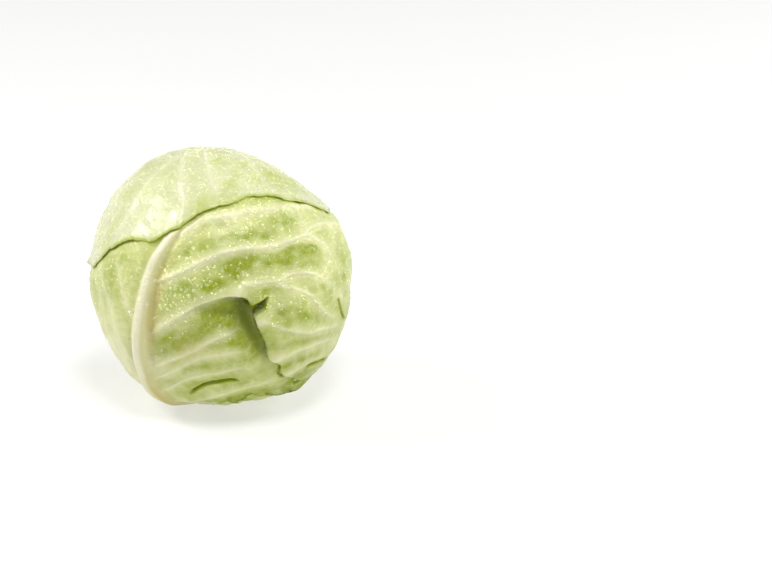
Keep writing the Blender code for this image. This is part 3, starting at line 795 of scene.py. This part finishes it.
# ---------------------------------------------------------------------------------------------------
# Torn leaf base. A leaf further out was broken off when the head was trimmed; its short foot is left low
# at the front right, with a ragged, paler edge that lifts off the leaves beneath.
# ---------------------------------------------------------------------------------------------------

torn_blade = Blade(
    (35, -63),
    [(-22, -75), (10, -77), (45, -77), (84, -75), (90, -60), (74, -44), (60, -40), (50, -41), (38, -41),
     (26, -42), (12, -43), (0, -47), (-14, -54), (-28, -66)], ragged=1.0, seed=13)
torn_veins = [(flowing([(30, -76), (30 + turn, -66), (30 + 1.8 * turn, -56), (30 + 2.2 * turn, -46)]),
               (2.6, 1.4), (1.2, 0.5), 0.2) for turn in (-22, -10, 2, 13, 24)]


def torn_shape(ways):
    radius, free = resting(ways, laid)
    rise, pale, _ = veined(ways, torn_veins)
    inside = torn_blade.inside(ways)
    heading, _ = torn_blade.polar(ways)
    lift = 0.0024 * np.exp(-((np.maximum(inside, 0) / 0.0045) ** 2)) * (0.5 + 0.5 * np.sin(17 * heading))
    lift = lift * ease((degrees_from(ways, towards(0, -90)) - 18) / 10)
    radius = radius + (0.2 + 0.8 * free) * rise + lift * (0.3 + 0.7 * free)
    radius = radius + 0.0003 * swell(ways, 0.012, 41)
    green_and_shade = 0.45 + 0.3 * np.maximum(0, swell(ways, 0.02, 42))
    # Painted shade in dark green where the front leaf's margin hangs over this leaf.
    shaded = 0.72 * np.exp(-((front_blade.inside(ways) / 0.0030) ** 2))
    margin_tone_and_shade = 0.8 * np.exp(-((inside / 0.0022) ** 2))
    return ways * radius[:, None], {"rib": pale, "green_and_shade": np.clip(green_and_shade, 0, 1),
                                    "foot": 0.4 * ease((-ways[:, 2] - 0.9) / 0.1),
                                    "margin_tone_and_shade": margin_tone_and_shade, "fold": shaded}


torn = grown("torn_leaf_base_skin", torn_blade, 120, torn_shape)
torn.data.materials.append(leaf_finish(
    "torn_leaf_base_skin", pale=(0.60, 0.64, 0.24), deep=(0.32, 0.39, 0.03), rib=(0.76, 0.76, 0.44),
    foot=(0.54, 0.50, 0.22), margin_tone_and_shade=(0.70, 0.69, 0.34), gloss=0.42))
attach(torn, "root")
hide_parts("torn_leaf_base")

# ---------------------------------------------------------------------------------------------------
# Right and left leaves. The two wrapper leaves between the front leaf and the cap leaf, one up each side
# and round to the back. Each has a strong rib from the stem upwards and side veins that leave it in turn.
# ---------------------------------------------------------------------------------------------------


def branching(bearing, rib_points, low, high, count, spread, seed):
    """A midrib and its side veins, which leave it in turn on both sides and sweep upwards."""
    chance = np.random.default_rng(seed)
    veins = [(flowing(rib_points), (8.0, 2.6), (3.4, 0.8), 0.0)]
    for i in range(count):
        start = low + (high - low) * i / (count - 1)
        for hand in (-1, 1):
            lift = start + (3.5 if hand > 0 else 0) + chance.uniform(-2, 2)
            reach = spread * chance.uniform(0.85, 1.1)
            shape = [(bearing + hand * 1.5, lift), (bearing + hand * 0.30 * reach, lift + 9),
                     (bearing + hand * 0.65 * reach, lift + 16), (bearing + hand * reach, lift + 18)]
            veins.append((flowing(shape), (2.6, 1.3), (1.2, 0.4), 0.15))
            fork = shape[1]
            veins.append((flowing([fork, (fork[0] + hand * 0.2 * reach, fork[1] + 10),
                                   (fork[0] + hand * 0.35 * reach, fork[1] + 18)]),
                          (1.7, 1.0), (0.7, 0.3), 0.0))
    return veins


def side_shape_of(blade, veins, over, bearing, seed):
    def shape(ways):
        radius, free = resting(ways, over)
        rise, pale, panel = veined(ways, veins)
        puff = quilted(ways, 0.0075, seed + 3)
        pale = np.maximum(pale, 0.15 * np.exp(-((puff / 0.30) ** 2)))
        inside = blade.inside(ways)
        heading, _ = blade.polar(ways)
        curl = 0.0011 * np.exp(-((np.maximum(inside, 0) / 0.0035) ** 2))
        curl = curl * (0.5 + 0.5 * np.sin(11 * heading + seed))
        base = ease((degrees_from(ways, towards(0, -90)) - 13) / 6)
        radius = radius + free * base * (rise + curl) + 0.0003 * swell(ways, 0.016, seed)
        radius = radius + 0.0002 * free * ease(puff)
        green_and_shade = (0.15 + 0.40 * panel) * (1 + 0.35 * swell(ways, 0.012, seed + 1))
        green_and_shade = green_and_shade + 0.16 * swell(ways, 0.03, seed + 2)
        green_and_shade = np.clip(green_and_shade, 0, 1)
        foot = 0.65 * ease((-ways[:, 2] - 0.6) / 0.4)
        foot = foot * np.exp(-((degrees_from(ways, towards(bearing, -75)) / 22) ** 2))
        # Painted shade: a darker band along the margin.
        margin_tone_and_shade = 0.6 * np.exp(-((inside / 0.0013) ** 2))
        return ways * radius[:, None], {"rib": pale, "green_and_shade": green_and_shade, "foot": foot, "margin_tone_and_shade": margin_tone_and_shade}
    return shape


side_paint = leaf_finish(
    "side_leaf_skin", pale=(0.66, 0.69, 0.33), deep=(0.33, 0.40, 0.03), rib=(0.81, 0.80, 0.54),
    foot=(0.56, 0.50, 0.22), margin_tone_and_shade=(0.52, 0.58, 0.13), gloss=0.36)

right_blade = Blade(
    (108, -6),
    [(103, -76), (132, -74), (150, -60), (165, -38), (172, -12), (168, 15), (155, 38), (125, 50), (95, 52),
     (65, 45), (48, 25), (40, 0), (42, -25), (52, -50), (62, -74)], ragged=0.6, seed=14)
right_veins = branching(107, [(104, -75), (106, -50), (109, -25), (112, 0), (113, 25), (110, 44)],
                        -55, 26, 6, 44, 5)
right_shape = side_shape_of(right_blade, right_veins, list(laid), 104, 51)
right = grown("right_leaf_skin", right_blade, 176, right_shape)
right.data.materials.append(side_paint)
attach(right, "root")
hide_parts("right_leaf")

left_blade = Blade(
    (-130, -8),
    [(-135, -76), (-84, -76), (-76, -58), (-74, -35), (-68, -10), (-72, 15), (-88, 38), (-120, 50),
     (-150, 50), (-178, 40), (168, 20), (162, -8), (168, -34), (-178, -56), (-164, -73)],
    ragged=0.6, seed=15)
left_veins = branching(-128, [(-133, -75), (-130, -50), (-127, -25), (-124, 0), (-125, 25), (-130, 44)],
                       -55, 26, 6, 44, 6)
left_shape = side_shape_of(left_blade, left_veins, list(laid), -133, 61)
left = grown("left_leaf_skin", left_blade, 176, left_shape)
left.data.materials.append(side_paint)
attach(left, "root")
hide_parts("left_leaf")

# ---------------------------------------------------------------------------------------------------
# Inner leaves. The leaves packed inside, each a part of a turn further round the core than the last.
# They never saw the sun, so they are yellowish white, thicker and almost smooth. Only the feet of the
# first few show, round the stem.
# ---------------------------------------------------------------------------------------------------

inner_paint = leaf_finish(
    "inner_leaf_skin", pale=(0.74, 0.78, 0.46), deep=(0.62, 0.70, 0.30), rib=(0.82, 0.83, 0.64),
    foot=(0.72, 0.72, 0.50), margin_tone_and_shade=(0.74, 0.77, 0.44), gloss=0.42, net=0.3)
for number in range(1, 9):
    bearing = 20.0 + 137.5 * (number - 1)
    sole = 70.0 - 1.5 * number
    inner_blade = Blade(
        (bearing, 14),
        [(bearing, -sole), (bearing + 45, -0.72 * sole), (bearing + 78, -25), (bearing + 88, 12),
         (bearing + 80, 45), (bearing + 70, 74), (bearing + 180, 78), (bearing - 70, 74), (bearing - 80, 45),
         (bearing - 88, 12), (bearing - 78, -25), (bearing - 45, -0.72 * sole)],
        step=0.0050, lip=9.0, fade=18.0, seed=80 + number)
    inner_veins = [(flowing([(bearing, -sole), (bearing, -30), (bearing, 5), (bearing, 45)]),
                    (7.0, 2.5), (1.6, 0.5), 0.0)]

    def inner_shape(ways):
        radius, _ = resting(ways, laid)
        rise, pale, _ = veined(ways, inner_veins)
        radius = radius - 0.0012 + 0.4 * rise + 0.0003 * swell(ways, 0.02, 90 + number)
        inside = inner_blade.inside(ways)
        return ways * radius[:, None], {"rib": pale, "green_and_shade": 0.2 + 0 * radius, "foot": 0 * radius,
                                        "margin_tone_and_shade": 0.5 * np.exp(-((inside / 0.002) ** 2))}

    inner = grown(f"inner_leaf_{number}_skin", inner_blade, 92 if number < 4 else 60, inner_shape,
                  thickness=0.0014)
    inner.data.materials.append(inner_paint)
    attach(inner, "root")
    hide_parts(f"inner_leaf_{number}")

# ---------------------------------------------------------------------------------------------------
# Heart bud. The tight egg of the youngest leaves above the core, cut off from the light: nearly white,
# with the edges of its outer leaves winding up it.
# ---------------------------------------------------------------------------------------------------

low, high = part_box("heart_bud")
dome, bowl = 0.0420, 0.0385                 # how far it reaches above and below its widest part
middle = high.z - dome
bud_mesh = bpy.data.meshes.new("heart_bud_skin")
form = bmesh.new()
bmesh.ops.create_uvsphere(form, u_segments=72, v_segments=48, radius=1.0)
for vert in form.verts:
    x, y, z = vert.co
    turn = math.atan2(y, x)
    fold = math.sin(3 * turn + 5.5 * z)
    grow = 0.985 - 0.022 * max(0.0, fold) ** 6
    vert.co = Vector((x * grow * (high.x - low.x) / 2, y * grow * (high.y - low.y) / 2, 0.0))
    if z > 0:
        vert.co.z = middle + z * (grow * dome)
    else:
        vert.co.z = max(middle + z * bowl * grow, low.z + 0.0004 * (1 + z))
form.to_mesh(bud_mesh)
form.free()
bud = stood("heart_bud_skin", bud_mesh)
bud.data.materials.append(leaf_finish(
    "heart_bud_skin", pale=(0.82, 0.83, 0.58), deep=(0.72, 0.76, 0.40), rib=(0.86, 0.86, 0.70),
    foot=(0.8, 0.8, 0.6), margin_tone_and_shade=(0.8, 0.8, 0.5), net=0.2))
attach(bud, "root")
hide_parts("heart_bud")

# ---------------------------------------------------------------------------------------------------
# Stem. The butt that the head was cut from, with a flat sawn face: a wet cream pith, a ring of vessels
# and a green rind, which dries brown at the edge. The core tapers up inside the head.
# ---------------------------------------------------------------------------------------------------

low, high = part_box("stem")
face = (high.x - low.x) / 2
tall = high.z - low.z
outline = [(0.0, 0.0), (0.30 * face, 0.0), (0.60 * face, 0.0), (0.80 * face, 0.0),
           (0.93 * face, 0.0001), (0.985 * face, 0.0005), (face, 0.0013), (0.985 * face, 0.0030),
           (0.93 * face, 0.0060), (0.88 * face, 0.0095), (0.80 * face, 0.0160), (0.72 * face, 0.0260),
           (0.62 * face, 0.0360), (0.50 * face, 0.0460), (0.36 * face, tall - 0.0015),
           (0.20 * face, tall), (0.0, tall)]
form = bmesh.new()
profile = [form.verts.new((r, 0.0, z)) for r, z in outline]
edges = [form.edges.new(pair) for pair in zip(profile, profile[1:])]
bmesh.ops.spin(form, geom=profile + edges, cent=(0, 0, 0), axis=(0, 0, 1), angle=2 * math.pi,
               steps=96, use_merge=True)
bmesh.ops.remove_doubles(form, verts=form.verts[:], dist=1e-6)
for vert in form.verts:                     # not quite round, with the scars of broken leaf feet round it
    r, turn = math.hypot(vert.co.x, vert.co.y), math.atan2(vert.co.y, vert.co.x)
    if r > 0.6 * face and vert.co.z < 0.03:
        scar = 0.025 * math.sin(3 * turn + 0.6) + 0.02 * math.sin(5 * turn + 2.0)
        if vert.co.z > 0.002:
            scar += 0.03 * math.sin(8 * turn + vert.co.z * 420) * min(1.0, vert.co.z / 0.006)
        vert.co.x *= 1 + scar - 0.03
        vert.co.y *= 1 + scar - 0.03
bmesh.ops.recalc_face_normals(form, faces=form.faces[:])
stem_mesh = bpy.data.meshes.new("stem_skin")
form.to_mesh(stem_mesh)
form.free()
stem = stood("stem_skin", stem_mesh)

paint = bpy.data.materials.new("stem_skin")
paint.use_nodes = True
nodes, link = paint.node_tree.nodes, paint.node_tree.links.new
shader = nodes["Principled BSDF"]
place = nodes.new("ShaderNodeTexCoord")
apart = nodes.new("ShaderNodeSeparateXYZ")
link(place.outputs["Object"], apart.inputs[0])
flat = nodes.new("ShaderNodeCombineXYZ")
link(apart.outputs["X"], flat.inputs["X"])
link(apart.outputs["Y"], flat.inputs["Y"])
size = nodes.new("ShaderNodeVectorMath")
size.operation = "LENGTH"
link(flat.outputs["Vector"], size.inputs[0])
grain = nodes.new("ShaderNodeTexNoise")
grain.inputs["Scale"].default_value = 420.0
grain.inputs["Detail"].default_value = 5.0
link(place.outputs["Object"], grain.inputs["Vector"])
wander = nodes.new("ShaderNodeMath")
wander.operation = "MULTIPLY_ADD"
wander.inputs[1].default_value = 0.0022
link(grain.outputs["Fac"], wander.inputs[0])
link(size.outputs["Value"], wander.inputs[2])
rings = nodes.new("ShaderNodeValToRGB")
share = nodes.new("ShaderNodeMapRange")
share.inputs["From Max"].default_value = face
link(wander.outputs["Value"], share.inputs["Value"])
link(share.outputs["Result"], rings.inputs["Fac"])
ramp = rings.color_ramp
ramp.elements[0].position, ramp.elements[0].color = 0.0, (0.80, 0.80, 0.60, 1)
ramp.elements[1].position, ramp.elements[1].color = 1.0, (0.40, 0.34, 0.16, 1)
for spot, tint in ((0.45, (0.76, 0.77, 0.54)), (0.62, (0.60, 0.64, 0.34)), (0.70, (0.72, 0.74, 0.48)),
                   (0.88, (0.58, 0.64, 0.30)), (0.95, (0.50, 0.46, 0.22))):
    ramp.elements.new(spot).color = (*tint, 1)
link(rings.outputs["Color"], shader.inputs["Base Color"])
shader.inputs["Roughness"].default_value = 0.55
shader.inputs["Subsurface Weight"].default_value = 0.15
shader.inputs["Subsurface Scale"].default_value = 0.002
bump = nodes.new("ShaderNodeBump")
bump.inputs["Strength"].default_value = 0.4
bump.inputs["Distance"].default_value = 0.0004
link(grain.outputs["Fac"], bump.inputs["Height"])
link(bump.outputs["Normal"], shader.inputs["Normal"])
stem.data.materials.append(paint)
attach(stem, "root")
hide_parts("stem")

# ---------------------------------------------------------------------------------------------------
# Water. The head has been sprayed: the wax on the leaves draws the water into beads, a fine even mist
# of them over the upper half and bigger drops where they ran together. Each is a flat dome that sits
# on the leaf.
# ---------------------------------------------------------------------------------------------------


def skin_at(ways):
    """The outermost leaf's surface at each direction, and the direction it faces."""
    clear = 0.0012                          # nearer a margin than this, a bead belongs to the leaf beneath
    owner = np.where(cap_blade.inside(ways) > clear, 0,
                     np.where(front_blade.inside(ways) > clear, 1,
                              np.where(right_blade.inside(ways) > clear, 2, 3)))
    side = np.cross(ways, [0.0, 0.0, 1.0])
    side /= np.linalg.norm(side, axis=1)[:, None]
    rise = np.cross(side, ways)
    spots, facing = np.zeros_like(ways), np.zeros_like(ways)
    for which, shape in enumerate((cap_shape, front_shape, right_shape, left_shape)):
        here = owner == which
        if not here.any():
            continue
        base, _ = shape(ways[here])
        moved = []
        for step in (side, rise):
            there = ways[here] + step[here] * 0.004
            moved.append(shape(there / np.linalg.norm(there, axis=1)[:, None])[0])
        normal = np.cross(moved[0] - base, moved[1] - base)
        normal /= np.linalg.norm(normal, axis=1)[:, None]
        spots[here] = base
        facing[here] = normal * np.sign(np.einsum("ij,ij->i", normal, base))[:, None]
    return spots, facing


def beaded(name, ways, sizes, sides, tall):
    """Domes of water standing on the skin, all in one mesh."""
    spots, facing = skin_at(ways)
    keep = np.einsum("ij,ij->i", facing, ways) > 0.75
    spots, facing, sizes = spots[keep], facing[keep], sizes[keep]
    one = np.cross(facing, [0.31, 0.57, 0.76])
    one /= np.linalg.norm(one, axis=1)[:, None]
    two = np.cross(facing, one)
    turns = np.linspace(0, 2 * math.pi, sides, endpoint=False)
    rings = [(1.0, -0.12), (0.97, 0.25), (0.74, 0.70)] if sides > 7 else [(1.0, -0.10), (0.80, 0.55)]
    points, faces, per = [], [], len(rings) * sides + 1
    for wide, up in rings:
        for turn in turns:
            points.append(spots + sizes[:, None] * (wide * (math.cos(turn) * one + math.sin(turn) * two)
                                                    + up * tall * facing))
    points.append(spots + sizes[:, None] * tall * facing)
    points = np.stack(points, axis=1).reshape(-1, 3) + np.array(heart_of_head)
    pattern = []
    for level in range(len(rings) - 1):
        for k in range(sides):
            a, b = level * sides + k, level * sides + (k + 1) % sides
            pattern.append((a, b, b + sides, a + sides))
    top = (len(rings) - 1) * sides
    caps = [(top + k, top + (k + 1) % sides, per - 1) for k in range(sides)]
    soles = [tuple(range(sides - 1, -1, -1))]
    for i in range(len(spots)):
        start = i * per
        faces += [tuple(start + v for v in face) for face in pattern + caps + soles]
    mesh = bpy.data.meshes.new(name)
    mesh.from_pydata(points.tolist(), [], faces)
    return stood(name, mesh)


def scattered(chance, count, low, high):
    """Even random directions between two heights."""
    z = chance.uniform(math.sin(math.radians(low)), math.sin(math.radians(high)), count)
    turn = chance.uniform(0, 2 * math.pi, count)
    r = np.sqrt(1 - z * z)
    return np.column_stack([r * np.sin(turn), -r * np.cos(turn), z])


def spaced(ways, sizes, clear):
    """Drops any bead that would touch one already placed."""
    cell = 2.4 * float(sizes.max()) / head
    shelf, keep = {}, []
    for i, way in enumerate(ways):
        key = tuple(np.floor(way / cell).astype(int))
        near = [j for dx in (-1, 0, 1) for dy in (-1, 0, 1) for dz in (-1, 0, 1)
                for j in shelf.get((key[0] + dx, key[1] + dy, key[2] + dz), ())]
        if all(np.linalg.norm(ways[j] - way) * head > clear * (sizes[j] + sizes[i]) for j in near):
            shelf.setdefault(key, []).append(i)
            keep.append(i)
    return np.array(keep)


water = bpy.data.materials.new("water")
water.use_nodes = True
shader = water.node_tree.nodes["Principled BSDF"]
# A fifth of each bead is a near-white milky skin instead of clear water: painted light, standing in for the
# light a clear bead gathers onto the leaf.
shader.inputs["Base Color"].default_value = (0.97, 0.99, 0.88, 1)
shader.inputs["Roughness"].default_value = 0.03
shader.inputs["IOR"].default_value = 1.33
shader.inputs["Transmission Weight"].default_value = 0.80

chance = np.random.default_rng(7)
pools = [  # where drops ran together: bearing, height, spread in degrees, how many, radius in mm
    (-20, 14, 9, 80, 1.1), (-8, 22, 8, 50, 1.0), (-27, -17, 5, 12, 1.1), (22, 4, 5, 12, 1.0),
    (38, 4, 7, 22, 0.8), (10, 20, 8, 24, 0.9), (55, 14, 7, 14, 0.8), (-20, 2, 7, 30, 0.9),
    (-60, 10, 9, 26, 0.75), (0, -6, 7, 22, 0.75), (-75, 14, 8, 14, 0.7), (28, 36, 10, 20, 0.7),
    (160, 30, 20, 60, 0.9), (-140, 20, 20, 60, 0.9), (100, 10, 16, 40, 0.9),
]
big_ways, big_sizes = [], []
for bearing, height, spread, count, radius in pools:
    middle = towards(bearing, height)
    ways = middle + np.radians(spread) * 0.6 * chance.normal(size=(count, 3))
    big_ways.append(ways / np.linalg.norm(ways, axis=1)[:, None])
    big_sizes.append(0.001 * radius * chance.uniform(0.6, 1.35, count))
big_ways, big_sizes = np.vstack(big_ways), np.concatenate(big_sizes)
keep = spaced(big_ways, big_sizes, 1.1)
big_ways, big_sizes = big_ways[keep], big_sizes[keep]

mist_tries = 30000
mist_radius = 0.41                                      # of a middling bead of the mist, in mm
mist_ways = scattered(chance, mist_tries, -28, 88)
thin = ease((mist_ways[:, 2] + 0.30) / 0.50) * (0.50 + 0.50 * ease(0.5 + swell(mist_ways, 0.05, 70)))
dry = np.exp(-((degrees_from(mist_ways, towards(-85, -30)) / 34) ** 4))
dry = np.maximum(dry, 0.8 * np.exp(-((degrees_from(mist_ways, towards(48, -22)) / 24) ** 4)))
dry = np.maximum(dry, 0.75 * (beside(mist_ways, front_rib, 0.0055)[0] < 0.9))
dry = np.maximum(dry, 0.60 * (hollow(mist_ways, 0.0075) > 0.002))
kept = chance.uniform(0, 1, len(mist_ways)) < thin * (1 - dry)
mist_ways = mist_ways[kept]
mist_sizes = 0.001 * np.clip(chance.lognormal(math.log(mist_radius), 0.30, len(mist_ways)), 0.24, 0.90)
mist_sizes *= np.where(cap_blade.inside(mist_ways) > 0, 0.82, 1.0)
all_ways, all_sizes = np.vstack([big_ways, mist_ways]), np.concatenate([big_sizes, mist_sizes])
keep = spaced(all_ways, all_sizes, 1.08)
keep = keep[keep >= len(big_ways)]
mist = beaded("water_mist", all_ways[keep], all_sizes[keep], 6, 0.62)
drops = beaded("water_drops", big_ways, big_sizes, 12, 0.60)
for piece in (mist, drops):
    piece.data.materials.append(water)
    piece.visible_shadow = False          # clear beads this small let the light through to the leaf
    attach(piece, "root")

# ---------------------------------------------------------------------------------------------------
# The studio: a plain white floor that glows a little, a bright even room, and three big soft lights: the
# main one from the upper left, one from above and one from the right.
# ---------------------------------------------------------------------------------------------------

bpy.ops.mesh.primitive_plane_add(size=40.0, location=(0, 0, cad_box[0].z - 0.0002))
floor = bpy.context.object
floor.name = "floor"
paper = bpy.data.materials.new("floor")
paper.use_nodes = True
shader, link = paper.node_tree.nodes["Principled BSDF"], paper.node_tree.links.new
shader.inputs["Base Color"].default_value = (0.44, 0.44, 0.43, 1)
shader.inputs["Roughness"].default_value = 0.9
shader.inputs["Emission Color"].default_value = (1, 1, 1, 1)
from_head = paper.node_tree.nodes.new("ShaderNodeVectorMath")
from_head.operation = "LENGTH"
link(paper.node_tree.nodes.new("ShaderNodeTexCoord").outputs["Object"], from_head.inputs[0])
glow = paper.node_tree.nodes.new("ShaderNodeMapRange")       # lit from below, and more so far from the head
glow.inputs["From Min"].default_value, glow.inputs["From Max"].default_value = 0.8, 4.0
glow.inputs["To Min"].default_value, glow.inputs["To Max"].default_value = 0.55, 0.80
link(from_head.outputs["Value"], glow.inputs["Value"])
link(glow.outputs["Result"], shader.inputs["Emission Strength"])
floor.data.materials.append(paper)


def lamp(name, bearing, height, away, width, power, tint=(1.0, 1.0, 1.0)):
    data = bpy.data.lights.new(name, "AREA")
    data.shape, data.size, data.size_y = "RECTANGLE", width, width
    data.energy, data.color = power, tint
    light = bpy.data.objects.new(name, data)
    way = Vector(towards(bearing, height))
    light.location = heart_of_head + way * away
    light.rotation_euler = (-way).to_track_quat("-Z", "Y").to_euler()
    bpy.context.collection.objects.link(light)


lamp("key", -98, 42, 1.6, 0.5, 14.6, (1.0, 0.99, 0.97))
lamp("top", 15, 62, 2.0, 0.6, 23.0)
lamp("right", 105, 30, 2.0, 0.8, 18.0)
room = bpy.data.worlds.new("room")
room.use_nodes = True
nodes, link = room.node_tree.nodes, room.node_tree.links.new
nodes["Background"].inputs["Color"].default_value = (1.0, 1.0, 1.0, 1)
sky = nodes.new("ShaderNodeSeparateXYZ")
link(nodes.new("ShaderNodeTexCoord").outputs["Generated"], sky.inputs[0])
paler = nodes.new("ShaderNodeMapRange")              # the walls of the room are brighter than its ceiling
paler.inputs["From Min"].default_value, paler.inputs["From Max"].default_value = 0.08, 0.22
paler.inputs["To Min"].default_value, paler.inputs["To Max"].default_value = 0.9, 0.22
link(sky.outputs["Z"], paler.inputs["Value"])
link(paler.outputs["Result"], nodes["Background"].inputs["Strength"])
bpy.context.scene.world = room
bpy.context.scene.view_settings.view_transform = "Standard"

# The camera looks down 20 degrees on the front, from far off, with the head left of the middle.
camera_data = bpy.data.cameras.new("camera")
camera_data.lens, camera_data.sensor_width = 100.0, 36.0
camera = bpy.data.objects.new("camera", camera_data)
bpy.context.collection.objects.link(camera)
look_down, aside, above = math.radians(20.0), math.radians(4.38), math.radians(0.40)
back = Vector((0.0, -math.cos(look_down), math.sin(look_down)))
camera.location = heart_of_head + back * (16.55 * head)
turned = (-back).to_track_quat("-Z", "Y").to_matrix()
turned = turned @ Matrix.Rotation(-aside, 3, "Y") @ Matrix.Rotation(-above, 3, "X")
camera.rotation_euler = turned.to_euler()
camera_data.clip_start, camera_data.clip_end = 0.05, 50.0
bpy.context.scene.camera = camera
